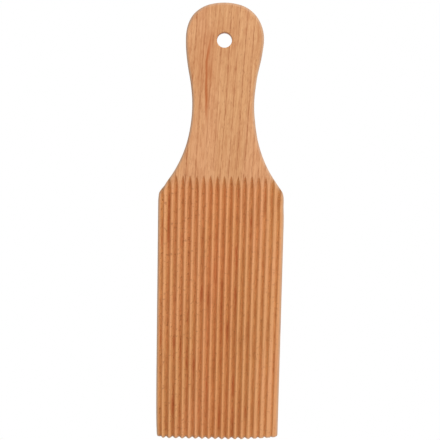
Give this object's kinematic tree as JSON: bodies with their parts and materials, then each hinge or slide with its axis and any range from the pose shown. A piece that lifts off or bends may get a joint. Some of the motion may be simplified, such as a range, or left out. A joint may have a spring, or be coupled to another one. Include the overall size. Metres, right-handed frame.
{
  "type": "gnocchi board",
  "caption": "Paddle-shaped wooden board with lengthwise V-grooves across its blade and a hanging hole in the rounded head of its handle.",
  "frame": {"origin": "on the flat back, in the middle of the overall length and width", "axes": "+Z out of the ridged face, +Y from the ridged end to the tip of the handle, +X across the ridges"},
  "size_m": [0.06, 0.21, 0.01],
  "materials": {
    "beech": "bare sanded beech"
  },
  "bodies": {
    "root": {"board": "beech"}
  },
  "joints": []
}
